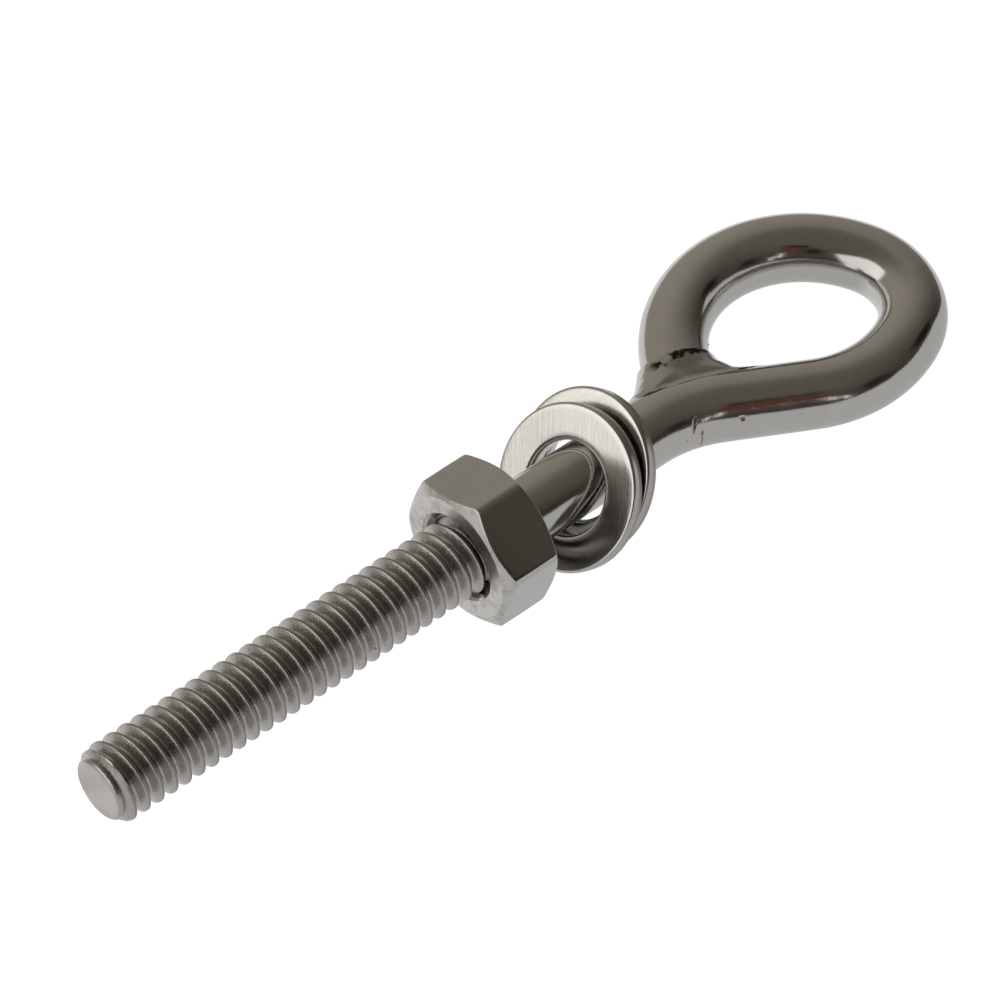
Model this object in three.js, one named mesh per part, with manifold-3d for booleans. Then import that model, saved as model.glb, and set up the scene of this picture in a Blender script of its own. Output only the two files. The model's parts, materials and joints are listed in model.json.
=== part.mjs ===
// Welded eye bolt with a hex nut and two plain washers, lying on a flat surface.
// Millimetres, +Z up. The shank runs along +X from the threaded tip to the eye.
import * as THREE from "three";
import { mergeVertices } from "three/addons/utils/BufferGeometryUtils.js";
import Module from "manifold-3d";

const wasm = await Module();
wasm.setup();

// ---- driving dimensions ----
const INCH = 25.4;
const PITCH = INCH / 20;
const GAP = 0.3;
const EDGE_TOLERANCE = 0.02;
const MERGE_DISTANCE = 1e-4;
const ROD_RADIUS = 2.7;
const THREAD_RADIUS = 3.1;
const THREAD_DEPTH = 0.6 * PITCH;
const CREST_WIDTH = PITCH / 6;
const FLANK_SLOPE = Math.tan(Math.PI / 6);
const THREAD_LENGTH = 38.6;
const THREAD_FADE = PITCH;
const THREAD_START = 0.3 * PITCH;
const TIP_RADIUS = 2.25;
const TIP_SLOPE = 0.9;

// the bent rod: straight shank, reverse bend, straight leg, then three arcs round the eye
const BEND_START = 52.85;
const REVERSE_BEND = { radius: 12.9, angle: -0.503 };
const LEG_LENGTH = 7.2;
const EYE_ARCS = [
  { radius: 10.6, angle: 0.933 },
  { radius: 5.95, angle: 1.583 },
  { radius: 10.6, angle: 2.24 },
];

const NUT_FACE = 34.0;
const NUT_HEIGHT = 5.15;
const NUT_FLATS = 10.8;
const NUT_FACE_SHARE = 0.93;
const NUT_CORNER_ANGLE = THREE.MathUtils.degToRad(-79);
const NUT_CHAMFER_ANGLE = Math.PI / 6;
const NUT_BORE_RADIUS = 2.9;
const NUT_SINK_RADIUS = 3.75;
const GROOVE_CREST_SHARE = 0.6;

const WASHER = { outer: 6.4, hole: 3.85, thickness: 1.1, edge: 0.25 };
const FRONT_WASHER = { along: 45.2, side: 0, up: 0, lean: 33.3, yaw: 1.6 };
const REAR_WASHER = { along: 47.45, side: 0.25, up: 0.1, lean: 34.3, yaw: 5.8 };

// the weld web's outline in the eye's plane, between the shank and the rod's free end
const WEB = {
  front: { x: 53.0, y: 1.2 },
  frontTop: { x: 53.2, y: 3.0 },
  frontCurve: { x: 55.2, y: 3.6 },
  legFront: { x: 56.6, y: 5.4 },
  legBack: { x: 60.9, y: 4.2 },
  backCurve: { x: 61.4, y: 2.2 },
  back: { x: 63.4, y: 0.4 },
  backFoot: { x: 62.4, y: -2.0 },
};
const WEB_THICKNESS = 4.0;
const WEB_BEVEL = { height: 0.6, inset: 0.5 };
const WEB_RUN_BEFORE_BEND = 5;

// the shank dips towards the eye: the nut and washers hold the threaded end up
const DIP_ANGLE = THREE.MathUtils.degToRad(4.7);

const SIDES = { rod: 18, nutThread: 16, washer: 36, nut: 30 };
const RINGS_PER_TURN = 6;
const BEND_STEP = 1.4;

// ---- solids ----
function toSolid(geometry) {
  const bare = geometry.clone();
  bare.deleteAttribute("normal");
  bare.deleteAttribute("uv");
  const merged = mergeVertices(bare, MERGE_DISTANCE);
  return new wasm.Manifold(new wasm.Mesh({
    numProp: 3,
    vertProperties: new Float32Array(merged.attributes.position.array),
    triVerts: new Uint32Array(merged.index.array),
  }));
}

function toGeometry(solid) {
  const mesh = solid.getMesh();
  const geometry = new THREE.BufferGeometry();
  geometry.setAttribute("position", new THREE.BufferAttribute(new Float32Array(mesh.vertProperties), 3));
  geometry.setIndex(new THREE.BufferAttribute(new Uint32Array(mesh.triVerts), 1));
  const flat = geometry.toNonIndexed();
  flat.computeVertexNormals();
  return flat;
}

// the main body of a solid, without edges shorter than the tolerance or the slivers
// left where a thread runs out
function tidied(solid) {
  const bodies = solid.simplify(EDGE_TOLERANCE).decompose();
  return bodies.reduce((best, body) => (body.volume() > best.volume() ? body : best));
}

// a solid of revolution about X; profile points are [along, radius], running towards +X
function turned(profile, sides) {
  const points = profile.map(([along, radius]) => new THREE.Vector2(radius, along));
  return toSolid(new THREE.LatheGeometry(points, sides).rotateZ(-Math.PI / 2));
}

// a trapezium swept along a right-hand helix about X, from one end to the other;
// crestAt gives the crest radius at a distance along the axis
function helicalRidge({ start, end, footRadius, footWidth, crestWidth, crestAt }) {
  const steps = Math.round(((end - start) / PITCH) * SIDES.nutThread);
  const positions = [];
  for (let step = 0; step <= steps; step += 1) {
    const along = start + (step * PITCH) / SIDES.nutThread;
    const turn = (2 * Math.PI * step) / SIDES.nutThread;
    const crest = crestAt(along);
    const section = [
      [-footWidth / 2, footRadius],
      [-crestWidth / 2, crest],
      [crestWidth / 2, crest],
      [footWidth / 2, footRadius],
    ];
    for (const [shift, radius] of section) {
      positions.push(along + shift, radius * Math.cos(turn), radius * Math.sin(turn));
    }
  }
  const faces = [0, 1, 2, 0, 2, 3];
  for (let step = 0; step < steps; step += 1) {
    for (let corner = 0; corner < 4; corner += 1) {
      const here = 4 * step + corner;
      const beside = 4 * step + ((corner + 1) % 4);
      faces.push(here, here + 4, beside, beside, here + 4, beside + 4);
    }
  }
  const last = 4 * steps;
  faces.push(last, last + 2, last + 1, last, last + 3, last + 2);
  const geometry = new THREE.BufferGeometry();
  geometry.setAttribute("position", new THREE.Float32BufferAttribute(positions, 3));
  geometry.setIndex(faces);
  return toSolid(geometry);
}

// ---- the bent rod, in the eye's own plane (X along the shank, Y across, Z up) ----
const ROD_PIECES = [
  { length: BEND_START, turn: 0 },
  { length: REVERSE_BEND.radius * -REVERSE_BEND.angle, turn: REVERSE_BEND.angle },
  { length: LEG_LENGTH, turn: 0 },
  ...EYE_ARCS.map(({ radius, angle }) => ({ length: radius * angle, turn: angle })),
];
const ROD_LENGTH = ROD_PIECES.reduce((sum, { length }) => sum + length, 0);

// the centreline point and its heading at a distance along the rod from the threaded tip
function rodCentre(distance) {
  let left = distance;
  let heading = 0;
  let x = 0;
  let y = 0;
  for (const { length, turn } of ROD_PIECES) {
    const run = Math.min(left, length);
    const bend = (turn * run) / length;
    const chord = bend === 0 ? run : (run * Math.sin(bend / 2)) / (bend / 2);
    x += chord * Math.cos(heading + bend / 2);
    y += chord * Math.sin(heading + bend / 2);
    heading += bend;
    left -= run;
  }
  return { x, y, heading };
}

// the rod as rings of points at the given distances, closed at both ends;
// radiusAt gives the radius at a distance and an angle round the rod
function ringedRod(distances, sides, radiusAt) {
  const positions = [];
  const faces = [];
  for (const distance of distances) {
    const { x, y, heading } = rodCentre(distance);
    for (let side = 0; side < sides; side += 1) {
      const angle = (2 * Math.PI * side) / sides;
      const radius = radiusAt(distance, angle);
      const across = radius * Math.cos(angle);
      positions.push(x - across * Math.sin(heading), y + across * Math.cos(heading), radius * Math.sin(angle));
    }
  }
  for (let ring = 1; ring < distances.length; ring += 1) {
    for (let side = 0; side < sides; side += 1) {
      const next = (side + 1) % sides;
      const here = ring * sides + side;
      const beside = ring * sides + next;
      const behind = here - sides;
      const corner = beside - sides;
      faces.push(behind, corner, beside, behind, beside, here);
    }
  }
  for (const ring of [0, distances.length - 1]) {
    const { x, y } = rodCentre(distances[ring]);
    const centre = positions.length / 3;
    positions.push(x, y, 0);
    for (let side = 0; side < sides; side += 1) {
      const here = ring * sides + side;
      const beside = ring * sides + ((side + 1) % sides);
      if (ring === 0) faces.push(centre, beside, here);
      else faces.push(centre, here, beside);
    }
  }
  const geometry = new THREE.BufferGeometry();
  geometry.setAttribute("position", new THREE.Float32BufferAttribute(positions, 3));
  geometry.setIndex(faces);
  return toSolid(geometry);
}

function evenSteps(start, end, step) {
  const count = Math.round((end - start) / step);
  return Array.from({ length: count + 1 }, (_, index) => start + ((end - start) * index) / count);
}

function bentRod(radius, start) {
  return ringedRod(evenSteps(start, ROD_LENGTH, BEND_STEP), SIDES.rod, () => radius);
}

// ---- eye rod: threaded shank and bent eye, one piece of round bar ----
function threadedRadius(distance, angle) {
  const phase = (distance - THREAD_START) / PITCH - angle / (2 * Math.PI);
  const fromCrest = PITCH * Math.abs(phase - Math.round(phase));
  const flank = Math.max(0, fromCrest - CREST_WIDTH / 2) / FLANK_SLOPE;
  const cut = THREAD_RADIUS - Math.min(flank, THREAD_DEPTH);
  const chamfered = Math.min(cut, TIP_RADIUS + distance * TIP_SLOPE);
  const fade = THREE.MathUtils.clamp((distance - THREAD_LENGTH) / THREAD_FADE, 0, 1);
  return THREE.MathUtils.lerp(chamfered, ROD_RADIUS, fade);
}

function eyeRod() {
  const threadEnd = THREAD_LENGTH + THREAD_FADE;
  const distances = [
    ...evenSteps(0, threadEnd, PITCH / RINGS_PER_TURN),
    ...evenSteps(threadEnd, ROD_LENGTH, BEND_STEP).slice(1),
  ];
  return ringedRod(distances, SIDES.rod, threadedRadius);
}

// ---- weld bead: the web that joins the rod's free end to the shank ----
function weldBead() {
  const web = new THREE.Shape();
  web.moveTo(WEB.front.x, WEB.front.y);
  web.lineTo(WEB.frontTop.x, WEB.frontTop.y);
  web.quadraticCurveTo(WEB.frontCurve.x, WEB.frontCurve.y, WEB.legFront.x, WEB.legFront.y);
  web.lineTo(WEB.legBack.x, WEB.legBack.y);
  web.quadraticCurveTo(WEB.backCurve.x, WEB.backCurve.y, WEB.back.x, WEB.back.y);
  web.lineTo(WEB.backFoot.x, WEB.backFoot.y);
  web.closePath();
  const depth = WEB_THICKNESS - 2 * WEB_BEVEL.height;
  const slab = new THREE.ExtrudeGeometry(web, {
    depth,
    bevelEnabled: true,
    bevelThickness: WEB_BEVEL.height,
    bevelSize: WEB_BEVEL.inset,
    bevelOffset: -WEB_BEVEL.inset,
    bevelSegments: 2,
    curveSegments: 5,
  });
  slab.translate(0, 0, -depth / 2);
  return tidied(toSolid(slab).subtract(bentRod(ROD_RADIUS + GAP, BEND_START - WEB_RUN_BEFORE_BEND)));
}

// ---- hex nut, with its thread clear of the bolt's by the gap ----
function hexNut() {
  const corner = NUT_FLATS / 2 / Math.cos(Math.PI / 6);
  const outline = new THREE.Shape();
  for (let side = 0; side < 6; side += 1) {
    const angle = NUT_CORNER_ANGLE + (side * Math.PI) / 3;
    const point = [corner * Math.cos(angle), corner * Math.sin(angle)];
    if (side === 0) outline.moveTo(...point);
    else outline.lineTo(...point);
  }
  outline.closePath();
  const back = NUT_FACE + NUT_HEIGHT;
  const prism = new THREE.ExtrudeGeometry(outline, { depth: NUT_HEIGHT, bevelEnabled: false, steps: 1 });
  prism.rotateX(Math.PI / 2).rotateZ(Math.PI / 2).translate(NUT_FACE, 0, 0);
  const faceRadius = NUT_FACE_SHARE * (NUT_FLATS / 2);
  const drop = (corner - faceRadius) * Math.tan(NUT_CHAMFER_ANGLE);
  const chamfers = turned([
    [NUT_FACE, 0],
    [NUT_FACE, faceRadius],
    [NUT_FACE + drop, corner],
    [back - drop, corner],
    [back, faceRadius],
    [back, 0],
  ], SIDES.nut);
  const over = GAP;
  const sink = NUT_SINK_RADIUS - NUT_BORE_RADIUS;
  const bore = turned([
    [NUT_FACE - over, 0],
    [NUT_FACE - over, NUT_SINK_RADIUS + over],
    [NUT_FACE + sink, NUT_BORE_RADIUS],
    [back - sink, NUT_BORE_RADIUS],
    [back + over, NUT_SINK_RADIUS + over],
    [back + over, 0],
  ], SIDES.nutThread);
  const crest = THREAD_RADIUS + GAP;
  const footRadius = NUT_BORE_RADIUS - GAP / 4;
  const turnsBefore = Math.floor(NUT_FACE / PITCH) - 1;
  const groove = helicalRidge({
    start: turnsBefore * PITCH + THREAD_START,
    end: back + PITCH,
    footRadius,
    footWidth: CREST_WIDTH + 2 * (THREAD_RADIUS - footRadius) * FLANK_SLOPE + 2 * GAP,
    crestWidth: CREST_WIDTH + 2 * GAP * GROOVE_CREST_SHARE,
    crestAt: () => crest,
  });
  return tidied(toSolid(prism).intersect(chamfers).subtract(bore.add(groove)));
}

// ---- washer, its rear edges rounded by the stamping ----
function washer() {
  const { outer, hole, thickness, edge } = WASHER;
  const half = thickness / 2;
  const profile = [
    [-half, hole],
    [-half, outer - edge],
    [-half + edge, outer],
    [half - edge / 2, outer],
    [half, outer - edge / 2],
    [half, hole + edge / 2],
    [half - edge / 2, hole],
    [-half, hole],
  ];
  return turned(profile, SIDES.washer);
}

// ---- materials, one per piece ----
function steel(colour, roughness) {
  return new THREE.MeshStandardMaterial({ color: colour, roughness, metalness: 1 });
}

function piece(name, solid, material) {
  const mesh = new THREE.Mesh(toGeometry(solid), material);
  mesh.name = name;
  return mesh;
}

// a washer leans back about Y, so that its lower rim is nearer the tip, and is yawed a little about Z
function placeWasher(mesh, { along, side, up, lean, yaw }) {
  mesh.position.set(along, side, up);
  mesh.rotation.set(0, THREE.MathUtils.degToRad(lean), THREE.MathUtils.degToRad(-yaw), "ZYX");
  return mesh;
}

const lyingBolt = new THREE.Group();
lyingBolt.name = "lying_bolt";
lyingBolt.rotation.y = DIP_ANGLE;
lyingBolt.add(
  piece("eye_rod", eyeRod(), steel(0x8f8b85, 0.2)),
  piece("weld_bead", weldBead(), steel(0x85817a, 0.35)),
  piece("hex_nut", hexNut(), steel(0x97938c, 0.22)),
  placeWasher(piece("front_washer", washer(), steel(0xb9b5ae, 0.38)), FRONT_WASHER),
  placeWasher(piece("rear_washer", washer(), steel(0xb4b0a9, 0.38)), REAR_WASHER),
);

// stand the whole part on Z = 0 with the middle of its footprint at the origin
const part = new THREE.Group();
part.name = "eye_bolt";
part.add(lyingBolt);
part.updateMatrixWorld(true);
const bounds = new THREE.Box3().setFromObject(part, true);
lyingBolt.position.set(
  -(bounds.min.x + bounds.max.x) / 2,
  -(bounds.min.y + bounds.max.y) / 2,
  -bounds.min.z,
);

export default part;
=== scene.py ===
"""Looks of the welded eye bolt: bent polished rod, weld, hex nut and two plain washers on a white floor."""
import json
import math

import bmesh
import bpy
import numpy as np
from mathutils import Matrix, Vector


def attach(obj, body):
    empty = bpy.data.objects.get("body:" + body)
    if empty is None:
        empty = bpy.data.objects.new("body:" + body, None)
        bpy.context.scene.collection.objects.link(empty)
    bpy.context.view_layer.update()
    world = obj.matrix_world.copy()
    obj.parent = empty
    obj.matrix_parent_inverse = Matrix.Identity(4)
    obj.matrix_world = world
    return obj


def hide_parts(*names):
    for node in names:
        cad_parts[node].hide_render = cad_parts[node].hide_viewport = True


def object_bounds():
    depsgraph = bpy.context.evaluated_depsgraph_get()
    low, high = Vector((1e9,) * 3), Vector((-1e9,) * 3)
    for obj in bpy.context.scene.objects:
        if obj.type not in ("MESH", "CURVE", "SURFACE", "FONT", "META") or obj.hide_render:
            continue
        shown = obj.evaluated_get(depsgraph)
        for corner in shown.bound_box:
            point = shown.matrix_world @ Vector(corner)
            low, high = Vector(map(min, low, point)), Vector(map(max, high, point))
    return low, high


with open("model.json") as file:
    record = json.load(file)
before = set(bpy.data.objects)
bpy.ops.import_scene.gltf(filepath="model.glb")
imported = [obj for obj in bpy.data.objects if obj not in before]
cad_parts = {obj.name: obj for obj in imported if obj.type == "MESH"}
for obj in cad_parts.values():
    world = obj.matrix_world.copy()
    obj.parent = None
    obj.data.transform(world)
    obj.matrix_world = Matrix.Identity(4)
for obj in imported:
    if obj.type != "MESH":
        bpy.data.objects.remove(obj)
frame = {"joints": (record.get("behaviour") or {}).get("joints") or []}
cad_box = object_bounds()

# ---- the shank's own frame, from the record's turning joint ----
# shank coordinates: x along the shank from the threaded tip, y across in the eye's plane, z out of it
MM = 0.001
turning = next(joint for joint in frame["joints"] if joint["name"] == "nut_and_washer_turn")
ALONG = -Vector(turning["axis"]).normalized()
ACROSS = Vector((0, 1, 0))
UP = ALONG.cross(ACROSS).normalized()
SHANK = Matrix((ALONG, ACROSS, UP)).transposed().to_4x4()
SHANK.translation = Vector(turning["pos_m"])
SHANK = SHANK @ Matrix.Scale(MM, 4)

# ---- driving dimensions, in millimetres ----
INCH = 25.4
PITCH = INCH / 20
ROD_RADIUS = 2.67
CREST_RADIUS = 3.07
CREST_WIDTH = 0.18
ROOT_WIDTH = 0.23
# strength of the painted shade that darkens the thread's crests, which also roughens them
CREST_PAINTED_SHADE = 0.6
CREST_SOFTNESS = 0.03
ROOT_SOFTNESS = 0.16
FLANK_RISE = 1 / math.tan(math.radians(30))
THREAD_DEPTH = (PITCH - CREST_WIDTH - ROOT_WIDTH) / 2 * FLANK_RISE
THREAD_START = 0.3 * PITCH
THREAD_END = 38.6
THREAD_STOP = THREAD_END + PITCH
TIP_FLAT_RADIUS = 2.12
TIP_LIP = {"length": 0.32, "rise": 0.38}
TIP_GROOVE = {"place": 0.48, "radius": 2.34}
TIP_LENGTH = 0.56
TIP_DISH = 0.03

SHANK_LENGTH = 52.85
LEG_LENGTH = 7.2
REVERSE_RADIUS = 12.9
EYE_SIDE_RADIUS = 10.6
EYE_END_RADIUS = 5.95


def bend(radius, turn):
    """A bend of the rod as (length, turn in radians)."""
    return radius * abs(turn), turn


# the rod's straight runs and bends from the threaded tip: (length, turn in radians)
COURSE = (
    (SHANK_LENGTH, 0),
    bend(REVERSE_RADIUS, -0.503),
    (LEG_LENGTH, 0),
    bend(EYE_SIDE_RADIUS, 0.933),
    bend(EYE_END_RADIUS, 1.583),
    bend(EYE_SIDE_RADIUS, 2.24),
)
ROD_LENGTH = sum(length for length, turn in COURSE)

NUT_FACE = 34.0
NUT_HEIGHT = 5.2
NUT_FLATS = 10.86
NUT_CORNER = math.radians(-79)
NUT_FACE_RADIUS = 5.12
NUT_SINK_RADIUS = 3.75
NUT_CORNER_SOFTNESS = 0.45
NUT_EDGE = 0.05
NUT_CROWN = 0.02

WASHER_OUTER = 6.38
WASHER_HOLE = 3.56
WASHER_THICKNESS = 1.06
WASHER_BREAK = 0.55 * WASHER_THICKNESS
FRONT_WASHER = {"face": (44.52, -0.25, 0.28), "normal": (0.835, -0.023, -0.550)}
REAR_WASHER = {"face": (46.38, 0.16, 0.36), "normal": (0.824, -0.065, -0.563)}


# ---- mesh helpers ----
def mesh_piece(name, points, faces, placing, body, node, material, sharp=40, mark=None):
    """A smooth-shaded closed mesh that rides on a CAD body in place of a CAD node.

    The points are in millimetres of the piece's own space, which the materials read as "place";
    mark is a (name, values) pair of a further value for each point.
    """
    mesh = bpy.data.meshes.new(name)
    mesh.from_pydata(np.asarray(points).tolist(), [], [tuple(face) for face in faces])
    place = mesh.attributes.new("place", "FLOAT_VECTOR", "POINT")
    place.data.foreach_set("vector", np.asarray(points, np.float32).ravel())
    if mark:
        marked = mesh.attributes.new(mark[0], "FLOAT", "POINT")
        marked.data.foreach_set("value", np.asarray(mark[1], np.float32).ravel())
    model = bmesh.new()
    model.from_mesh(mesh)
    bmesh.ops.remove_doubles(model, verts=model.verts, dist=1e-4)
    bmesh.ops.dissolve_degenerate(model, edges=model.edges, dist=1e-5)
    bmesh.ops.recalc_face_normals(model, faces=model.faces)
    model.to_mesh(mesh)
    model.free()
    mesh.transform(placing)
    mesh.shade_smooth()
    mesh.set_sharp_from_angle(angle=math.radians(sharp))
    mesh.materials.append(material)
    piece = bpy.data.objects.new(name, mesh)
    bpy.context.scene.collection.objects.link(piece)
    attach(piece, body)
    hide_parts(node)
    return piece


def ring_faces(rings, sides, first=0):
    """Quads between successive closed rings of points."""
    ring, side = np.meshgrid(np.arange(rings - 1), np.arange(sides), indexing="ij")
    beside = (side + 1) % sides
    here, ahead = ring * sides, (ring + 1) * sides
    quads = [here + side, here + beside, ahead + beside, ahead + side]
    return (np.stack(quads, -1).reshape(-1, 4) + first).tolist()


def ripple(points, wavelength, seed, waves=10):
    """Smooth seeded unevenness of about -1 to 1 over 3-D points."""
    random = np.random.default_rng(seed)
    aim = random.normal(size=(waves, 3))
    aim /= np.linalg.norm(aim, axis=1)[:, None]
    aim *= 2 * math.pi / (wavelength * random.uniform(0.6, 1.6, size=(waves, 1)))
    shift = random.uniform(0, 2 * math.pi, size=waves)
    return np.sin(np.asarray(points) @ aim.T + shift).sum(-1) / math.sqrt(2 * waves)


def smooth_step(value, low, high):
    """0 below low, 1 above high, with soft ends between them."""
    share = np.clip((value - low) / (high - low), 0, 1)
    return share * share * (3 - 2 * share)


def soft_min(first, second, width):
    """The smaller of two values, rounded where they are within the width of each other."""
    near = np.clip(0.5 + 0.5 * (second - first) / width, 0, 1)
    return second + (first - second) * near - width * near * (1 - near)


# ---- the bent rod ----
def rod_centre(distance):
    """Centreline point and heading at a distance along the rod from the threaded tip."""
    x = y = heading = 0.0
    left = distance
    for length, turn in COURSE:
        run = min(max(left, 0.0), length)
        turned = turn * run / length
        chord = run if turned == 0 else run * math.sin(turned / 2) / (turned / 2)
        x += chord * math.cos(heading + turned / 2)
        y += chord * math.sin(heading + turned / 2)
        heading += turned
        left -= length
    return x, y, heading


def thread_radius(distance, turn):
    """Radius of the rolled thread and its chamfered tip; turn is the share of a turn round the rod."""
    phase = (distance - THREAD_START) / PITCH - turn
    from_crest = PITCH * np.abs(phase - np.round(phase))
    below_crest = (CREST_WIDTH / 2 - from_crest) * FLANK_RISE
    flank = -soft_min(np.zeros_like(from_crest), below_crest, CREST_SOFTNESS)
    depth = soft_min(flank, np.full_like(flank, THREAD_DEPTH), ROOT_SOFTNESS)
    run_in = smooth_step(distance, TIP_LENGTH, TIP_LENGTH + 0.7 * PITCH)
    thread = CREST_RADIUS - depth * run_in
    past_lip = distance - TIP_LIP["length"]
    edge = np.clip(distance / TIP_LIP["length"], 0, 1)
    lip = TIP_FLAT_RADIUS + TIP_LIP["rise"] * np.sqrt(1 - (1 - edge) ** 2) - 2 * np.maximum(past_lip, 0)
    rise = TIP_GROOVE["radius"] + np.maximum(distance - TIP_GROOVE["place"], 0) * FLANK_RISE
    chamfer = np.where(past_lip < 0, lip, -soft_min(-lip, -rise, 0.05))
    cut = soft_min(thread, chamfer, 0.06)
    run_out = smooth_step(distance, THREAD_END, THREAD_STOP)
    return cut + (ROD_RADIUS - cut) * run_out


# knocks left by the bending tool: distance, angle round the rod in degrees, half length, half width,
# slant (distance gained per millimetre round the rod) and depth
KNOCKS = (
    (55.85, -31, 0.16, 0.55, -0.35, 0.06),
    (56.6, -13, 0.13, 0.40, -0.1, 0.05),
    (56.6, 4, 0.08, 0.45, -0.15, 0.04),
    (55.0, -11, 0.08, 0.10, 0.0, 0.04),
    (60.35, -27, 0.24, 0.15, 0.5, 0.05),
    (56.1, -42, 0.20, 0.20, -0.5, 0.04),
)
KNOCKED_RUN = (54, 61.5)


def knock_share(distance, angle):
    """0 to 1 over the knocks near the reverse bend, and their depth, on the side away from the weld."""
    total = np.zeros(np.broadcast(distance, angle).shape)
    sunk = np.zeros_like(total)
    ragged = np.stack(np.broadcast_arrays(distance, angle * ROD_RADIUS, 0 * distance), -1)
    wobble = 0.45 * ripple(ragged, 0.35, seed=5)
    for place, around, length, width, slant, depth in KNOCKS:
        turn = (angle - math.pi - math.radians(around) + math.pi) % (2 * math.pi) - math.pi
        across = turn * ROD_RADIUS
        spread = np.hypot((distance - place - slant * across) / length, across / width)
        share = 1 - smooth_step(spread + wobble, 0.6, 1.2)
        total = np.maximum(total, share)
        sunk = np.maximum(sunk, depth * share)
    return total, sunk


ROD_SIDES = 128


def rod_points(distance, angle, radius):
    """Points of the bent rod's surface; distance and radius are arrays of one row each."""
    places = np.array([rod_centre(value) for value in distance])
    across = radius * np.cos(angle)
    heading = places[:, 2:3]
    return np.stack([
        places[:, 0:1] - across * np.sin(heading),
        places[:, 1:2] + across * np.cos(heading),
        radius * np.sin(angle) + 0 * heading,
    ], -1)


def thread_rows():
    """Offsets of the mesh's rows from a crest's middle, closest where the thread's profile turns."""
    crest = CREST_WIDTH / 2
    root = (PITCH - ROOT_WIDTH) / 2
    half = [crest - 0.012, crest, crest + 0.012]
    half += [crest + share * (root - crest) for share in (0.25, 0.5, 0.75)]
    half += [root - 0.06, root, root + 0.05]
    return np.array([0.0, *half, PITCH / 2, *[PITCH - offset for offset in reversed(half)]])


def eye_rod_mesh():
    """The rod from tip to leg end: tip rings, rows that follow the thread, then rings round the eye."""
    turn = np.arange(ROD_SIDES) / ROD_SIDES
    angle = 2 * math.pi * turn[None, :]
    points, faces, knock_and_crest_shades = [], [], []

    def add_points(block, knock_and_crest_shade_marks=None):
        points.append(block.reshape(-1, 3))
        knock_and_crest_shades.append(np.zeros(len(points[-1])) if knock_and_crest_shade_marks is None else knock_and_crest_shade_marks.ravel())

    def add_rings(distance, radius, knock_and_crest_shade_marks=None):
        first = sum(len(block) for block in points)
        add_points(rod_points(distance, angle, radius), knock_and_crest_shade_marks)
        faces.extend(ring_faces(len(distance), ROD_SIDES, first))

    # the turned tip face, faintly dished, then its rounded edge
    shares = np.linspace(0.02, 1, 12)
    add_rings(TIP_DISH * (1 - shares**2), np.repeat(TIP_FLAT_RADIUS * shares[:, None], ROD_SIDES, 1))
    tip = TIP_LENGTH * np.linspace(0, 1, 36) ** 1.3
    add_rings(tip, thread_radius(tip[:, None], turn[None, :]))
    centre = sum(len(block) for block in points)
    add_points(np.array([[TIP_DISH, 0.0, 0.0]]))
    faces.extend([[side, centre, (side + 1) % ROD_SIDES] for side in range(ROD_SIDES)])

    # rows that follow the helix, held against the flat ends of the threaded length
    offsets = thread_rows()
    starts = (PITCH * np.arange(-2, math.ceil(THREAD_STOP / PITCH) + 1)[:, None] + offsets).ravel()
    distance = np.clip(THREAD_START + starts[:, None] + turn[None, :] * PITCH, TIP_LENGTH, THREAD_STOP)
    radius = thread_radius(distance, turn[None, :])
    ring = np.stack([distance, radius * np.cos(angle), radius * np.sin(angle)], -1)
    uneven = smooth_step(distance, TIP_LENGTH, 1.0)
    uneven *= 1 - smooth_step(distance, THREAD_END - 1, THREAD_STOP - 0.2)
    radius = radius + 0.005 * uneven * ripple(ring, 0.9, seed=11)
    first = sum(len(block) for block in points)
    from_crest = np.tile(np.minimum(offsets, PITCH - offsets), len(starts) // len(offsets))[:, None]
    # painted shade: the crest rows get a dark brown mark, carried with the knocks, and extra roughness
    painted_crest_shade = CREST_PAINTED_SHADE * (from_crest <= CREST_WIDTH / 2) * uneven
    add_points(np.stack([distance, radius * np.cos(angle), radius * np.sin(angle)], -1), painted_crest_shade)
    row, side = np.meshgrid(np.arange(len(starts) - 1), np.arange(ROD_SIDES - 1), indexing="ij")
    here = first + row * ROD_SIDES + side
    quads = np.stack([here, here + 1, here + 1 + ROD_SIDES, here + ROD_SIDES], -1)
    faces.extend(quads.reshape(-1, 4).tolist())
    row = np.arange(len(starts) - 1 - len(offsets))
    here = first + row * ROD_SIDES + ROD_SIDES - 1
    beside = first + (row + len(offsets)) * ROD_SIDES
    faces.extend(np.stack([here, beside, beside + ROD_SIDES, here + ROD_SIDES], -1).tolist())

    # plain shank, bends and eye, to the leg's square end
    first_knocked, last_knocked = KNOCKED_RUN
    distance = np.concatenate([
        np.arange(THREAD_STOP, first_knocked, 0.6),
        np.arange(first_knocked, last_knocked, 0.05),
        np.arange(last_knocked, ROD_LENGTH, 0.35),
        [ROD_LENGTH],
    ])
    knock_and_crest_shade_marks, sunk = knock_share(distance[:, None], angle)
    add_rings(distance, ROD_RADIUS - sunk, knock_and_crest_shade_marks)
    last = sum(len(block) for block in points)
    x, y, heading = rod_centre(ROD_LENGTH)
    add_points(np.array([[x, y, 0.0]]))
    rim = last - ROD_SIDES
    faces.extend([[rim + side, last, rim + (side + 1) % ROD_SIDES] for side in range(ROD_SIDES)])
    return np.concatenate(points), faces, np.concatenate(knock_and_crest_shades)


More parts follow.
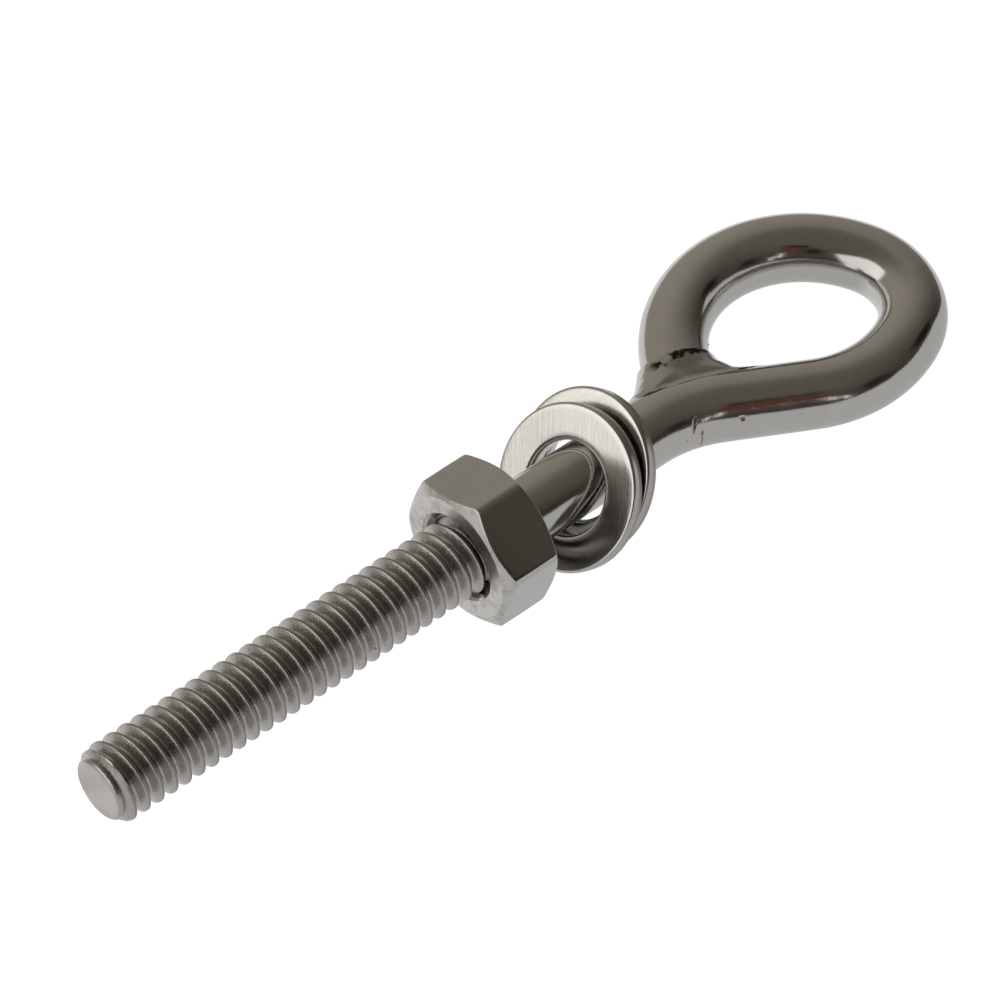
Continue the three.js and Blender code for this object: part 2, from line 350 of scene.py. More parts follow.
# ---- weld ----
def surface_net(field, low, high, step):
    """Closed mesh of the surface where the field is zero, one point in each cell that it crosses."""
    axes = [np.arange(start, stop + step, step) for start, stop in zip(low, high)]
    grid = np.stack(np.meshgrid(*axes, indexing="ij"), -1)
    value = field(grid.reshape(-1, 3)).reshape(grid.shape[:3])
    inside = value < 0
    cells = tuple(count - 1 for count in value.shape)
    total = np.zeros(cells + (3,))
    crossings = np.zeros(cells)

    def corner(array, offset):
        return array[tuple(slice(o, o + count) for o, count in zip(offset, cells))]

    corners = [(i, j, k) for i in (0, 1) for j in (0, 1) for k in (0, 1)]
    for start in corners:
        for axis in range(3):
            if start[axis]:
                continue
            stop = tuple(1 if index == axis else start[index] for index in range(3))
            crossed = corner(inside, start) != corner(inside, stop)
            from_value, to_value = corner(value, start), corner(value, stop)
            share = np.where(crossed, from_value / np.where(crossed, from_value - to_value, 1), 0)
            from_point, to_point = corner(grid, start), corner(grid, stop)
            total += crossed[..., None] * (from_point + share[..., None] * (to_point - from_point))
            crossings += crossed
    number = np.full(cells, -1)
    used = crossings > 0
    number[used] = np.arange(used.sum())
    points = total[used] / crossings[used][:, None]

    faces = []
    for axis in range(3):
        first, second = (axis + 1) % 3, (axis + 2) % 3
        here = [slice(1, -1)] * 3
        here[axis] = slice(0, -1)
        ahead = list(here)
        ahead[axis] = slice(1, None)
        changes = inside[tuple(here)] != inside[tuple(ahead)]
        index = np.argwhere(changes)
        index[:, first] += 1
        index[:, second] += 1
        leaving = inside[tuple(index.T)]
        around = []
        for back_first, back_second in ((1, 1), (0, 1), (0, 0), (1, 0)):
            cell = index.copy()
            cell[:, first] -= back_first
            cell[:, second] -= back_second
            around.append(number[tuple(cell.T)])
        quads = np.stack(around, -1)
        quads[~leaving] = quads[~leaving][:, ::-1]
        faces.append(quads)
    return points, np.concatenate(faces)


def to_path(points, start, stop, step=0.5):
    """Distance from each point to the rod's centreline between two distances along it."""
    stations = np.linspace(start, stop, max(2, int((stop - start) / step)))
    path = np.array([[*rod_centre(station)[:2], 0.0] for station in stations])
    nearest = np.full(len(points), 1e9)
    for first, second in zip(path, path[1:]):
        run = second - first
        share = np.clip((points - first) @ run / (run @ run), 0, 1)
        nearest = np.minimum(nearest, np.linalg.norm(points - first - share[:, None] * run, axis=1))
    return nearest


def to_outline(points, outline):
    """Signed distance in the eye's plane to a closed outline, negative inside."""
    flat = points[:, :2]
    nearest = np.full(len(flat), 1e9)
    inside = np.zeros(len(flat), bool)
    for first, second in zip(outline, outline[1:] + outline[:1]):
        first, second = np.array(first), np.array(second)
        run = second - first
        share = np.clip((flat - first) @ run / (run @ run), 0, 1)
        nearest = np.minimum(nearest, np.linalg.norm(flat - first - share[:, None] * run, axis=1))
        crosses = (first[1] > flat[:, 1]) != (second[1] > flat[:, 1])
        rise = run[1] if run[1] else 1e-9
        inside ^= crosses & (flat[:, 0] < first[0] + run[0] * (flat[:, 1] - first[1]) / rise)
    return np.where(inside, -nearest, nearest)


# the web in the eye's plane (x along the shank, y across), then the edge of the weld metal over the rod
WEB_OUTLINE = [
    (52.6, 0.6), (53.3, 2.72), (54.25, 3.1), (55.1, 3.62), (56.05, 4.5), (57.0, 5.4),
    (60.5, 5.2), (62.2, 3.6), (61.75, 2.4), (61.6, 1.3), (61.95, 0.2), (62.7, -0.6), (63.5, -1.2),
    (62.0, -2.2),
]
WELD_EDGE = [
    (52.7, 1.75), (52.6, 3.4), (54.6, 4.2), (55.9, 5.1), (56.5, 4.2), (57.4, 3.8), (58.9, 3.0), (60.4, 2.3),
    (61.5, 1.85), (62.3, 3.3), (64.0, 2.0), (65.2, -0.5), (64.6, -1.6), (62.6, -1.35), (60.8, -0.85),
    (59.7, -0.5), (58.4, 0.1), (56.7, 0.62), (55.1, 1.32), (53.4, 1.72),
]
WEB_HALF_HEIGHT = 2.4
WEB_ROUNDING = 2.8
WELD_PROUD = 0.025
WELD_BOX = ((51.9, -2.6, -3.1), (66.0, 5.9, 3.1))


def weld_field(points):
    """Negative inside the weld metal: the web and a thin skin over the rod, cut off at the weld's edge."""
    shank = to_path(points, 48, 72) - ROD_RADIUS
    leg = to_path(points, ROD_LENGTH - 7, ROD_LENGTH) - ROD_RADIUS
    web_side = to_outline(points, WEB_OUTLINE)
    web_top = np.abs(points[:, 2]) - WEB_HALF_HEIGHT
    web = -soft_min(-web_side, -web_top, WEB_ROUNDING)
    filled = soft_min(np.minimum(shank, leg), web, 0.25)
    uneven = 0.016 * ripple(points, 1.8, seed=3) + 0.006 * ripple(points, 0.5, seed=4)
    skin = filled - WELD_PROUD - uneven
    ragged = to_outline(points, WELD_EDGE) + 0.07 * ripple(points, 0.7, seed=9)
    return -soft_min(-skin, -ragged, 0.03)


def weld_mesh():
    """The weld metal between the leg's end and the shank, pulled onto the exact surface of its field."""
    points, faces = surface_net(weld_field, *WELD_BOX, 0.1)
    nudge = 0.01
    for _ in range(3):
        value = weld_field(points)
        slope = np.stack([
            (weld_field(points + nudge * axis) - value) / nudge for axis in np.eye(3)
        ], -1)
        length = np.maximum((slope**2).sum(-1), 0.2)
        step = np.clip(value / length, -0.04, 0.04)
        points = points - slope * step[:, None]
    return points, faces


# ---- nut ----
def nut_mesh():
    """Hexagon with crowned flats, chamfered faces and a countersunk threaded bore, as one closed grid."""
    # columns crowd together at the corners
    steps = 44
    share = np.arange(steps) / steps
    eased = share - 0.82 * np.sin(2 * math.pi * share) / (2 * math.pi)
    from_corner = np.concatenate([eased] * 6) * math.pi / 3
    angle = NUT_CORNER + from_corner + np.repeat(np.arange(6), steps) * math.pi / 3
    flat = NUT_FLATS / 2
    hexagon = soft_min(
        flat / np.cos(math.pi / 6 - from_corner),
        flat / np.cos(np.minimum(math.pi / 6 + from_corner, 1.4)),
        NUT_CORNER_SOFTNESS,
    )
    other_side = flat / np.cos(np.minimum(math.pi / 2 - from_corner, 1.4))
    hexagon = soft_min(hexagon, other_side, NUT_CORNER_SOFTNESS)
    slope = math.tan(math.pi / 6)
    columns = len(angle)
    middle = NUT_FACE + NUT_HEIGHT / 2
    bore = CREST_RADIUS - THREAD_DEPTH + 0.22
    rows, matts = [], []

    def row(distance, radius, matt=0.0):
        rows.append((np.broadcast_to(distance, columns), np.broadcast_to(radius, columns)))
        matts.append(np.full(columns, matt))

    # outside, from the front face's countersink edge to the middle of the flats
    half = []
    half.append((0.06, NUT_SINK_RADIUS - 0.06, 0.5))
    half.append((0.015, NUT_SINK_RADIUS - 0.015, 1.0))
    half.append((0.0, NUT_SINK_RADIUS + 0.04, 1.0))
    for part in np.linspace(0.1, 0.93, 6):
        half.append((0.0, NUT_SINK_RADIUS + part * (NUT_FACE_RADIUS - NUT_SINK_RADIUS), 1.0))
    for part in (0.0, 0.04, 0.12, 0.3, 0.5, 0.7, 0.85):
        radius = NUT_FACE_RADIUS + part * (hexagon - NUT_FACE_RADIUS)
        half.append(((radius - NUT_FACE_RADIUS) * slope, radius, 1.0))
    drop = (hexagon - NUT_FACE_RADIUS) * slope
    for part in (0.0, 0.35, 0.7, 1.0):
        left = 1.0 - part
        half.append((drop + NUT_EDGE * (part - 0.5 * left), hexagon - NUT_EDGE * left**2, left))
    for part in (0.1, 0.3, 0.6, 1.0):
        along = (drop + NUT_EDGE) + part * (NUT_HEIGHT / 2 - drop - NUT_EDGE)
        half.append((along, hexagon + NUT_CROWN * (1 - (1 - part) ** 2), 0.0))
    for depth, radius, matt in half:
        row(NUT_FACE + depth, radius, matt)
    for depth, radius, matt in reversed(half[:-1]):
        row(2 * middle - NUT_FACE - depth, radius, matt)

    # inside, back to front along the tapped bore
    sink = NUT_SINK_RADIUS - 0.06
    turn = angle / (2 * math.pi)
    for distance in np.linspace(NUT_FACE + NUT_HEIGHT - 0.08, NUT_FACE + 0.08, 66):
        from_face = min(distance - NUT_FACE, NUT_FACE + NUT_HEIGHT - distance)
        phase = (distance - THREAD_START) / PITCH - turn
        from_groove = PITCH * np.abs(phase - np.round(phase))
        groove = np.maximum(CREST_RADIUS + 0.08 - np.maximum(from_groove - 0.12, 0) * FLANK_RISE, bore)
        row(distance, np.maximum(groove, sink - from_face + 0.06))
    points = np.stack([
        np.stack([distance, radius * np.cos(angle), radius * np.sin(angle)], -1)
        for distance, radius in rows
    ])
    faces = ring_faces(len(rows), columns)
    last = (len(rows) - 1) * columns
    faces += [
        [last + side, last + (side + 1) % columns, (side + 1) % columns, side] for side in range(columns)
    ]
    return points.reshape(-1, 3), faces, np.concatenate(matts)


# ---- washers ----
def rounded(corners, radii, steps=5):
    """A closed outline with each corner turned into a smooth curve of about that radius."""
    made = []
    for index, (corner, radius) in enumerate(zip(corners, radii)):
        corner = np.array(corner, float)
        before = np.array(corners[index - 1], float) - corner
        after = np.array(corners[(index + 1) % len(corners)], float) - corner
        start = corner + before / np.linalg.norm(before) * radius
        stop = corner + after / np.linalg.norm(after) * radius
        for share in np.linspace(0, 1, steps):
            made.append((1 - share) ** 2 * start + 2 * share * (1 - share) * corner + share**2 * stop)
    return made


def washer_mesh(seed):
    """A stamped ring, front face at x = 0, with a rolled front edge and a sharper rear edge."""
    sides = 192
    thick = WASHER_THICKNESS
    outline = rounded(
        [(0, WASHER_HOLE), (0, WASHER_OUTER), (WASHER_BREAK, WASHER_OUTER), (thick, WASHER_OUTER - 0.06),
         (thick, WASHER_HOLE)],
        [0.36, 0.24, 0.05, 0.08, 0.15],
    )
    dense = []
    for first, second in zip(outline, outline[1:] + outline[:1]):
        count = max(1, int(np.linalg.norm(second - first) / 0.3))
        for part in range(count):
            dense.append(first + (second - first) * part / count)
    angle = 2 * math.pi * np.arange(sides) / sides
    profile = np.array(dense)
    points = np.stack([
        np.repeat(profile[:, :1], sides, 1),
        profile[:, 1:] * np.cos(angle),
        profile[:, 1:] * np.sin(angle),
    ], -1)
    points[..., 0] += 0.012 * ripple(points * (0, 1, 1), 7.0, seed)
    faces = ring_faces(len(profile), sides)
    last = (len(profile) - 1) * sides
    faces += [[last + side, last + (side + 1) % sides, (side + 1) % sides, side] for side in range(sides)]
    return points.reshape(-1, 3), faces


def washer_placing(face, normal):
    """Puts a washer's front-face centre at a point in the shank's frame, its axis along the normal."""
    axis = Vector(normal).normalized()
    side = Vector((0, 0, 1)).cross(axis).normalized()
    placing = Matrix((axis, side, axis.cross(side))).transposed().to_4x4()
    placing.translation = Vector(face)
    return SHANK @ placing


# ---- material helpers ----
def node(tree, kind, inputs=None, **settings):
    made = tree.nodes.new(kind)
    for name, value in settings.items():
        setattr(made, name, value)
    for name, value in (inputs or {}).items():
        socket = made.inputs[name]
        if isinstance(value, bpy.types.NodeSocket):
            tree.links.new(value, socket)
        else:
            socket.default_value = value
    return made


def maths(tree, operation, first, second=0.0):
    return node(tree, "ShaderNodeMath", {0: first, 1: second}, operation=operation).outputs[0]


def spread(tree, value, low, high, start=0.0, stop=1.0):
    """Maps a value from low..high to start..stop with soft ends."""
    inputs = {"Value": value, "From Min": low, "From Max": high, "To Min": start, "To Max": stop}
    return node(tree, "ShaderNodeMapRange", inputs, interpolation_type="SMOOTHSTEP").outputs["Result"]


def mix_colour(tree, share, first, second):
    made = tree.nodes.new("ShaderNodeMix")
    made.data_type = "RGBA"
    for index, value in ((0, share), (6, first), (7, second)):
        if isinstance(value, bpy.types.NodeSocket):
            tree.links.new(value, made.inputs[index])
        else:
            made.inputs[index].default_value = (*value, 1) if index else value
    return made.outputs[2]


def mix_value(tree, share, first, second):
    made = tree.nodes.new("ShaderNodeMix")
    made.data_type = "FLOAT"
    for index, value in ((0, share), (2, first), (3, second)):
        if isinstance(value, bpy.types.NodeSocket):
            tree.links.new(value, made.inputs[index])
        else:
            made.inputs[index].default_value = value
    return made.outputs[0]


def noise(tree, coordinate, scale, detail=2.0, roughness=0.5):
    inputs = {"Vector": coordinate, "Scale": scale, "Detail": detail, "Roughness": roughness}
    return node(tree, "ShaderNodeTexNoise", inputs).outputs["Fac"]


def stretched(tree, coordinate, scale, turn=(0, 0, 0)):
    inputs = {"Vector": coordinate, "Scale": scale, "Rotation": turn}
    return node(tree, "ShaderNodeMapping", inputs).outputs["Vector"]


def from_axis(tree, place):
    """Distance of a place from its piece's own x axis."""
    parts = node(tree, "ShaderNodeSeparateXYZ", {0: place})
    inputs = {0: 0.0, 1: parts.outputs["Y"], 2: parts.outputs["Z"]}
    flat = node(tree, "ShaderNodeCombineXYZ", inputs).outputs[0]
    return node(tree, "ShaderNodeVectorMath", {0: flat}, operation="LENGTH").outputs["Value"]


def steel(name):
    """An empty metal material: (material, tree, shader, place on the piece in millimetres)."""
    material = bpy.data.materials.new(name)
    material.use_nodes = True
    tree = material.node_tree
    shader = tree.nodes["Principled BSDF"]
    shader.inputs["Metallic"].default_value = 1.0
    place = node(tree, "ShaderNodeAttribute", attribute_name="place").outputs["Vector"]
    return material, tree, shader, place


def finish_steel(tree, shader, colour, roughness, height=None, bump_strength=1.0, bump_distance=0.00001):
    for name, value in (("Base Color", colour), ("Roughness", roughness)):
        if isinstance(value, bpy.types.NodeSocket):
            tree.links.new(value, shader.inputs[name])
        else:
            shader.inputs[name].default_value = value
    if height is not None:
        inputs = {"Height": height, "Strength": bump_strength, "Distance": bump_distance}
        tree.links.new(node(tree, "ShaderNodeBump", inputs).outputs["Normal"], shader.inputs["Normal"])


# ---- materials ----
def rod_steel():
    """Polished rod: satin rolled thread with painted shade on its crests, turned tip face, faint bending
    marks, brown in the knocks.
    """
    material, tree, shader, place = steel("rod_polished_steel")
    x = node(tree, "ShaderNodeSeparateXYZ", {0: place}).outputs["X"]
    threaded = spread(tree, x, THREAD_END - 0.2, THREAD_END + 1.0, 1.0, 0.0)
    tip = spread(tree, x, 0.02, 0.06, 1.0, 0.0)
    cloud = noise(tree, place, 0.35, 3.0)
    fine = noise(tree, place, 9.0, 3.0, 0.6)
    grit = noise(tree, place, 3.2, 4.0, 0.7)
    pits = spread(tree, noise(tree, place, 2.6, 3.0, 0.65), 0.66, 0.72)
    pits = maths(tree, "MULTIPLY", pits, threaded)
    colour = mix_colour(tree, cloud, (0.52, 0.51, 0.495), (0.60, 0.59, 0.575))
    thread_colour = mix_colour(tree, grit, (0.36, 0.345, 0.33), (0.62, 0.605, 0.585))
    colour = mix_colour(tree, threaded, colour, thread_colour)
    colour = mix_colour(tree, maths(tree, "MULTIPLY", pits, 0.75), colour, (0.06, 0.05, 0.04))
    tip_colour = mix_colour(tree, spread(tree, cloud, 0.35, 0.65), (0.53, 0.515, 0.49), (0.62, 0.60, 0.575))
    colour = mix_colour(tree, tip, colour, tip_colour)
    specks = spread(tree, noise(tree, place, 3.4, 3.0, 0.7), 0.64, 0.72, 0.0, 0.5)
    colour = mix_colour(tree, specks, colour, (0.20, 0.165, 0.13))
    # the knock mark also holds the painted shade on the thread's crests: both darken toward brown and
    # roughen
    knock_and_crest_shades = node(tree, "ShaderNodeAttribute", attribute_name="knock_and_crest_shade").outputs["Fac"]
    colour = mix_colour(tree, maths(tree, "MULTIPLY", knock_and_crest_shades, 0.8), colour, (0.18, 0.12, 0.085))
    rough = spread(tree, cloud, 0.3, 0.7, 0.095, 0.14)
    rough = mix_value(tree, threaded, rough, spread(tree, grit, 0.3, 0.7, 0.12, 0.22))
    rough = mix_value(tree, tip, rough, 0.42)
    rough = mix_value(tree, knock_and_crest_shades, rough, 0.4)
    rolled = maths(tree, "ADD", maths(tree, "MULTIPLY", fine, 2.2), grit)
    waves = maths(tree, "MULTIPLY", noise(tree, place, 0.55, 1.0), 2.2)
    polished = maths(tree, "ADD", waves, maths(tree, "MULTIPLY", fine, 0.32))
    height = mix_value(tree, threaded, polished, rolled)
    height = maths(tree, "SUBTRACT", height, maths(tree, "MULTIPLY", pits, 2.0))
    finish_steel(tree, shader, colour, rough, height, 0.5, 0.00002)
    return material


def weld_steel():
    """Polished weld metal with burnt, jagged marks along the leg's toe and round the inner fillet."""
    material, tree, shader, place = steel("weld_polished_steel")
    # the burnt line runs across the top of the leg's end
    parts = node(tree, "ShaderNodeSeparateXYZ", {0: place})
    jag = noise(tree, place, 1.6, 4.0, 0.7)
    level = maths(tree, "ADD", maths(tree, "MULTIPLY", parts.outputs["X"], 0.283), parts.outputs["Y"])
    level = maths(tree, "ADD", level, maths(tree, "MULTIPLY", maths(tree, "SUBTRACT", jag, 0.5), 1.6))
    near = maths(tree, "ABSOLUTE", maths(tree, "SUBTRACT", level, 19.28))
    band = spread(tree, near, 0.20, 0.52, 1.0, 0.0)
    patchy = spread(tree, noise(tree, place, 1.1, 2.0), 0.38, 0.52)
    left = spread(tree, parts.outputs["X"], 55.9, 56.7)
    right = spread(tree, parts.outputs["X"], 60.3, 61.4, 1.0, 0.0)
    stretch = maths(tree, "MULTIPLY", left, right)
    burnt = maths(tree, "MULTIPLY", maths(tree, "MULTIPLY", band, patchy), stretch)
    cloud = noise(tree, place, 0.6, 3.0)
    colour = mix_colour(tree, cloud, (0.505, 0.49, 0.47), (0.59, 0.575, 0.555))
    colour = mix_colour(tree, burnt, colour, (0.035, 0.028, 0.022))
    rough = mix_value(tree, burnt, spread(tree, cloud, 0.3, 0.7, 0.12, 0.2), 0.5)
    height = maths(tree, "SUBTRACT", noise(tree, place, 7.0, 3.0, 0.6), maths(tree, "MULTIPLY", burnt, 3.0))
    finish_steel(tree, shader, colour, rough, height, 0.5, 0.00002)
    return material


def nut_steel():
    """Mirror flats, matt chamfers and faces with small pits, satin bore darkened with painted shade."""
    material, tree, shader, place = steel("nut_steel")
    matt = node(tree, "ShaderNodeAttribute", attribute_name="matt").outputs["Fac"]
    cloud = noise(tree, place, 0.5, 3.0)
    grain = noise(tree, stretched(tree, place, (0.6, 8.0, 8.0)), 1.0, 3.0, 0.6)
    fine = noise(tree, place, 10.0, 3.0, 0.6)
    pits = maths(tree, "MULTIPLY", spread(tree, noise(tree, place, 2.2, 2.0), 0.74, 0.78), matt)
    colour = mix_colour(tree, cloud, (0.52, 0.515, 0.505), (0.59, 0.585, 0.575))
    stained = spread(tree, noise(tree, place, 0.9, 4.0, 0.7), 0.46, 0.66, 0.0, 0.7)
    matt_colour = mix_colour(tree, grain, (0.52, 0.51, 0.50), (0.72, 0.71, 0.70))
    matt_colour = mix_colour(tree, stained, matt_colour, (0.36, 0.325, 0.29))
    colour = mix_colour(tree, matt, colour, matt_colour)
    # painted shade: the bore and the bottom of the countersink are darkened
    painted_bore_shade = spread(tree, from_axis(tree, place), NUT_SINK_RADIUS - 0.26, NUT_SINK_RADIUS - 0.12, 1.0, 0.0)
    colour = mix_colour(tree, painted_bore_shade, colour, (0.15, 0.13, 0.115))
    colour = mix_colour(tree, pits, colour, (0.08, 0.06, 0.05))
    rough = mix_value(tree, matt, spread(tree, cloud, 0.3, 0.7, 0.07, 0.1), 0.3)
    height = mix_value(tree, matt, maths(tree, "MULTIPLY", fine, 0.1), maths(tree, "ADD", fine, grain))
    finish_steel(tree, shader, colour, rough, height, 0.5, 0.00002)
    return material


def washer_steel(name, placing, grain_turn, seed):
    """One-way brushed faces; the rim has a rolled bright edge, a dark sheared band and a torn grey band."""
    material, tree, shader, place = steel(name)
    parts = node(tree, "ShaderNodeSeparateXYZ", {0: place})
    rim = spread(tree, from_axis(tree, place), WASHER_OUTER - 0.16, WASHER_OUTER - 0.06)
    turned = stretched(tree, place, (1, 1, 1), (grain_turn, 0, 0))
    shift = {0: turned, 1: (seed, seed, seed)}
    shifted = node(tree, "ShaderNodeVectorMath", shift, operation="ADD").outputs[0]
    lines = noise(tree, stretched(tree, shifted, (0.3, 14.0, 0.35)), 1.0, 3.0, 0.65)
    streaks = noise(tree, stretched(tree, shifted, (0.3, 4.0, 0.12)), 1.0, 2.0, 0.5)
    cloud = noise(tree, shifted, 0.5, 2.0)
    colour = mix_colour(tree, lines, (0.62, 0.605, 0.585), (0.84, 0.825, 0.80))
    colour = mix_colour(tree, maths(tree, "MULTIPLY", streaks, 0.4), colour, (0.62, 0.60, 0.575))
    torn = spread(tree, parts.outputs["X"], WASHER_BREAK - 0.08, WASHER_BREAK + 0.08)
    rim_colour = mix_colour(tree, torn, (0.50, 0.485, 0.465), (0.43, 0.39, 0.35))
    colour = mix_colour(tree, rim, colour, rim_colour)
    rough = spread(tree, cloud, 0.3, 0.7, 0.15, 0.19)
    rough = mix_value(tree, rim, rough, mix_value(tree, torn, 0.22, 0.42))
    height = maths(tree, "ADD", lines, maths(tree, "MULTIPLY", streaks, 0.5))
    tangent = (placing.to_3x3() @ Vector((0, math.cos(grain_turn), -math.sin(grain_turn)))).normalized()
    grain = node(
        tree, "ShaderNodeVectorTransform", {0: tuple(tangent)},
        vector_type="VECTOR", convert_from="OBJECT", convert_to="WORLD",
    ).outputs[0]
    tree.links.new(grain, shader.inputs["Tangent"])
    shader.inputs["Anisotropic"].default_value = 0.5
    finish_steel(tree, shader, colour, rough, height, 0.35, 0.00002)
    return material


# ---- floor, light and camera ----
def add_floor():
    mesh = bpy.data.meshes.new("floor")
    reach = 1.5
    corners = [(-reach, -reach, 0), (reach, -reach, 0), (reach, reach, 0), (-reach, reach, 0)]
    mesh.from_pydata(corners, [], [(0, 1, 2, 3)])
    floor = bpy.data.objects.new("floor", mesh)
    bpy.context.scene.collection.objects.link(floor)
    floor.location.z = cad_box[0].z - 0.05 * MM
    material = bpy.data.materials.new("white_floor")
    material.use_nodes = True
    tree = material.node_tree
    shader = tree.nodes["Principled BSDF"]
    shader.inputs["Base Color"].default_value = (0.25, 0.25, 0.25, 1)
    shader.inputs["Roughness"].default_value = 0.9
    shader.inputs["Emission Color"].default_value = (1, 1, 1, 1)
    shader.inputs["Emission Strength"].default_value = 0.97
    mesh.materials.append(material)
    # the mirror-like steel reflects the softly lit surroundings below instead of this bright sheet
    floor.visible_glossy = False


def direction(azimuth, elevation):
    a, e = math.radians(azimuth), math.radians(elevation)
    return Vector((math.cos(a) * math.cos(e), math.sin(a) * math.cos(e), math.sin(e)))


def patch(tree, ray, azimuth, elevation, inner, outer):
    """1 within inner degrees of a direction, falling to 0 at outer degrees."""
    aim = tuple(direction(azimuth, elevation))
    cosine = node(tree, "ShaderNodeVectorMath", {0: ray, 1: aim}, operation="DOT_PRODUCT").outputs["Value"]
    return spread(tree, cosine, math.cos(math.radians(outer)), math.cos(math.radians(inner)))


def strip(tree, ray, azimuth, half_width, low, high, soft=1.0):
    """1 inside an upright strip between two elevations, falling to 0 over the soft degrees round it."""
    turn = math.radians(azimuth)
    across = node(
        tree, "ShaderNodeVectorMath", {0: ray, 1: (-math.sin(turn), math.cos(turn), 0)},
        operation="DOT_PRODUCT",
    ).outputs["Value"]
    ahead = node(
        tree, "ShaderNodeVectorMath", {0: ray, 1: (math.cos(turn), math.sin(turn), 0)},
        operation="DOT_PRODUCT",
    ).outputs["Value"]
    height = node(tree, "ShaderNodeSeparateXYZ", {0: ray}).outputs["Z"]
    inner, outer = (math.sin(math.radians(half_width + side * soft / 2)) for side in (-1, 1))
    share = spread(tree, maths(tree, "ABSOLUTE", across), inner, outer, 1.0, 0.0)
    share = maths(tree, "MULTIPLY", share, spread(tree, ahead, 0.0, 0.05))
    for edge, start in ((low, 0.0), (high, 1.0)):
        below, above = (math.sin(math.radians(edge + side * soft / 2)) for side in (-1, 1))
        share = maths(tree, "MULTIPLY", share, spread(tree, height, below, above, start, 1.0 - start))
    return share


def room_colour(tree, ray, parts):
    """A dim warm-grey room, lighter behind, with a dark camera stand, a red strap and two narrow lamps."""
    height = parts.outputs["Z"]
    risen = spread(tree, height, 0.2, 0.5)
    low_room = mix_colour(tree, risen, (0.055, 0.049, 0.040), (0.086, 0.075, 0.059))
    room = mix_colour(tree, spread(tree, height, 0.45, 0.98), low_room, (0.143, 0.129, 0.104))
    behind = spread(tree, parts.outputs["Y"], -0.3, 0.95)
    behind = maths(tree, "MULTIPLY", behind, spread(tree, height, 0.7, 0.98, 1.0, 0.15))
    room = mix_colour(tree, behind, room, (0.36, 0.33, 0.285))
    room = mix_colour(tree, strip(tree, ray, -125, 7, 30, 47, 5), room, (0.03, 0.028, 0.024))
    room = mix_colour(tree, strip(tree, ray, -103, 8, 28, 56, 2), room, (0.02, 0.018, 0.016))
    room = mix_colour(tree, strip(tree, ray, -103, 8, 28, 50, 2), room, (0.125, 0.055, 0.044))
    room = mix_colour(tree, patch(tree, ray, -25, 25, 5, 11), room, (0.015, 0.013, 0.012))
    room = mix_colour(tree, patch(tree, ray, -66, 26, 4, 11), room, (0.025, 0.022, 0.019))
    for lamp in (strip(tree, ray, -95.5, 0.9, 21, 33), strip(tree, ray, -88, 0.8, 15, 26)):
        room = mix_colour(tree, lamp, room, (2.2, 2.15, 2.0))
    return room


def table_share(tree, parts):
    """1 where a ray meets the light table; its far edge is seen lower from the bolt than its near edge."""
    eastward = maths(tree, "MULTIPLY", maths(tree, "MAXIMUM", parts.outputs["X"], 0.0), 0.5)
    far_drop = spread(tree, maths(tree, "ADD", parts.outputs["Y"], eastward), 0.05, 0.55, 0.0, 0.48)
    return spread(tree, maths(tree, "ADD", parts.outputs["Z"], far_drop), 0.17, 0.22, 1.0, 0.0)


def add_surroundings():
    """The room and table that the polished steel reflects; the backdrop itself is seen as plain white."""
    world = bpy.data.worlds.new("studio")
    world.use_nodes = True
    bpy.context.scene.world = world
    tree = world.node_tree
    ray = tree.nodes.new("ShaderNodeTexCoord").outputs["Generated"]
    parts = node(tree, "ShaderNodeSeparateXYZ", {0: ray})
    far_table = spread(tree, parts.outputs["Y"], 0.0, 0.6)
    table = mix_colour(tree, far_table, (0.60, 0.595, 0.585), (0.84, 0.83, 0.82))
    scene_colour = mix_colour(tree, table_share(tree, parts), room_colour(tree, ray, parts), table)
    seen = node(tree, "ShaderNodeLightPath").outputs["Is Camera Ray"]
    colour = mix_colour(tree, seen, scene_colour, (0.93, 0.93, 0.93))
    background = tree.nodes["Background"]
    tree.links.new(colour, background.inputs["Color"])
    background.inputs["Strength"].default_value = 1.0


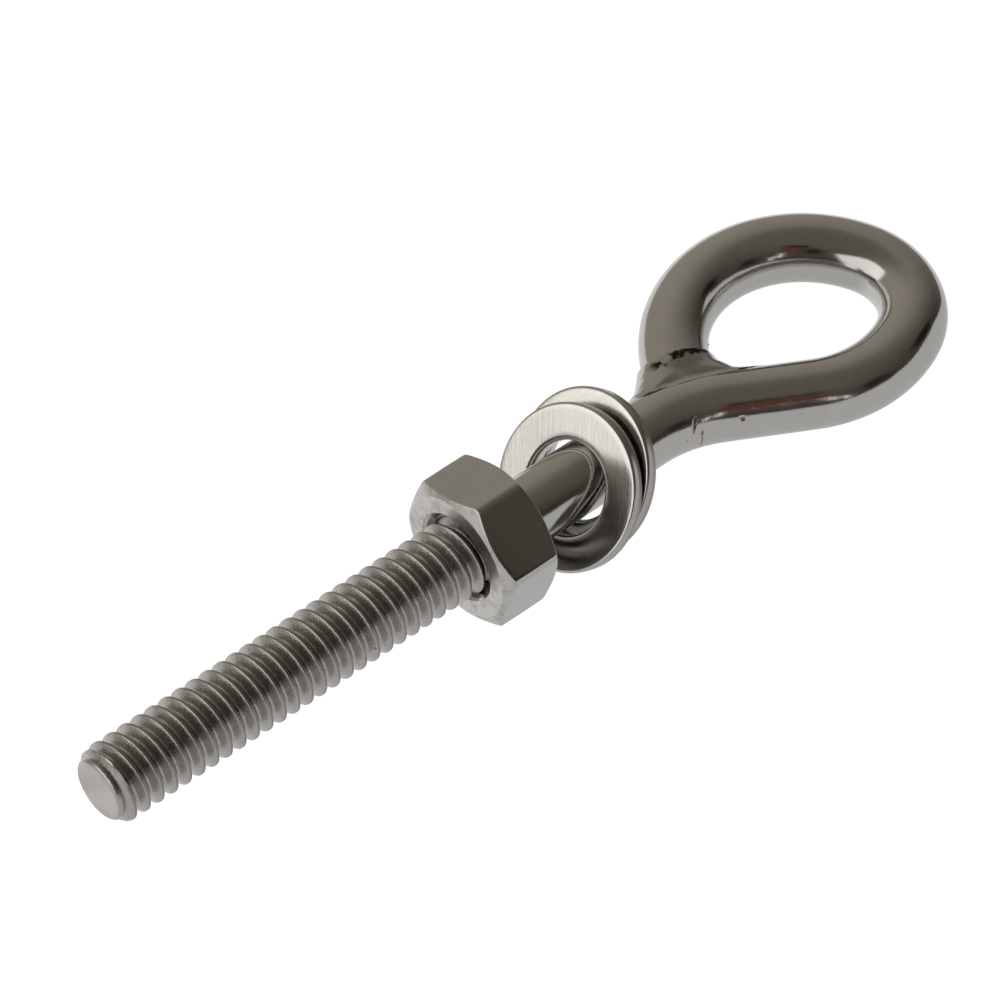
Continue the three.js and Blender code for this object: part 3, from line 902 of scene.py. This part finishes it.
def add_light(name, azimuth, elevation, distance, size, radiance, colour=(1, 1, 1)):
    """A rectangular soft light that faces the object."""
    data = bpy.data.lights.new(name, "AREA")
    data.shape = "RECTANGLE"
    data.size, data.size_y = size
    data.energy = radiance * math.pi * size[0] * size[1]
    data.color = colour
    light = bpy.data.objects.new(name, data)
    bpy.context.scene.collection.objects.link(light)
    back = direction(azimuth, elevation)
    light.location = back * distance
    light.rotation_euler = (-back).to_track_quat("-Z", "Y").to_euler()
    light.visible_camera = False


def add_camera():
    """Looks down on the bolt from beyond its threaded end."""
    azimuth, elevation, roll = -130.94, 53.69, -0.606
    distance = 482.17 * MM
    aim = Vector(turning["pos_m"]) + Vector((40.42, 2.58, -4.13)) * MM
    back = direction(azimuth, elevation)
    right = (-back).cross(Vector((0, 0, 1))).normalized()
    up = right.cross(-back)
    lean = math.radians(roll)
    rolled_right = right * math.cos(lean) + up * math.sin(lean)
    rolled_up = up * math.cos(lean) - right * math.sin(lean)
    data = bpy.data.cameras.new("camera")
    data.sensor_width = 36
    data.lens = 233.74
    data.clip_start = 0.01
    camera = bpy.data.objects.new("camera", data)
    bpy.context.scene.collection.objects.link(camera)
    placing = Matrix((rolled_right, rolled_up, back)).transposed().to_4x4()
    placing.translation = aim + back * distance
    camera.matrix_world = placing
    bpy.context.scene.camera = camera


# ---- build ----
# the rod's marks: knocks, and painted shade on the thread's crests
points, faces, knock_and_crest_shade_marks = eye_rod_mesh()
mesh_piece(
    "bent_rod", points, faces, SHANK, "eye_bolt", "eye_rod", rod_steel(),
    mark=("knock_and_crest_shade", knock_and_crest_shade_marks),
)

points, faces = weld_mesh()
mesh_piece("weld_fillet", points, faces, SHANK, "eye_bolt", "weld_bead", weld_steel(), 60)

points, faces, matt = nut_mesh()
mesh_piece(
    "chamfered_nut", points, faces, SHANK, "nut_body", "hex_nut", nut_steel(), 35,
    mark=("matt", matt),
)

for name, body, placed, grain_turn, seed in (
    ("front_washer", "front_washer_body", FRONT_WASHER, math.radians(34.6), 3),
    ("rear_washer", "rear_washer_body", REAR_WASHER, math.radians(-20), 9),
):
    placing = washer_placing(**placed)
    points, faces = washer_mesh(seed)
    finish = washer_steel(name + "_steel", placing, grain_turn, seed)
    mesh_piece("stamped_" + name, points, faces, placing, body, name, finish, 30)

add_floor()
add_surroundings()
add_light("left_softbox", 170, 31, 0.6, (0.84, 0.48), 1.0, (1.0, 0.995, 0.98))
add_camera()
bpy.context.scene.view_settings.view_transform = "Standard"
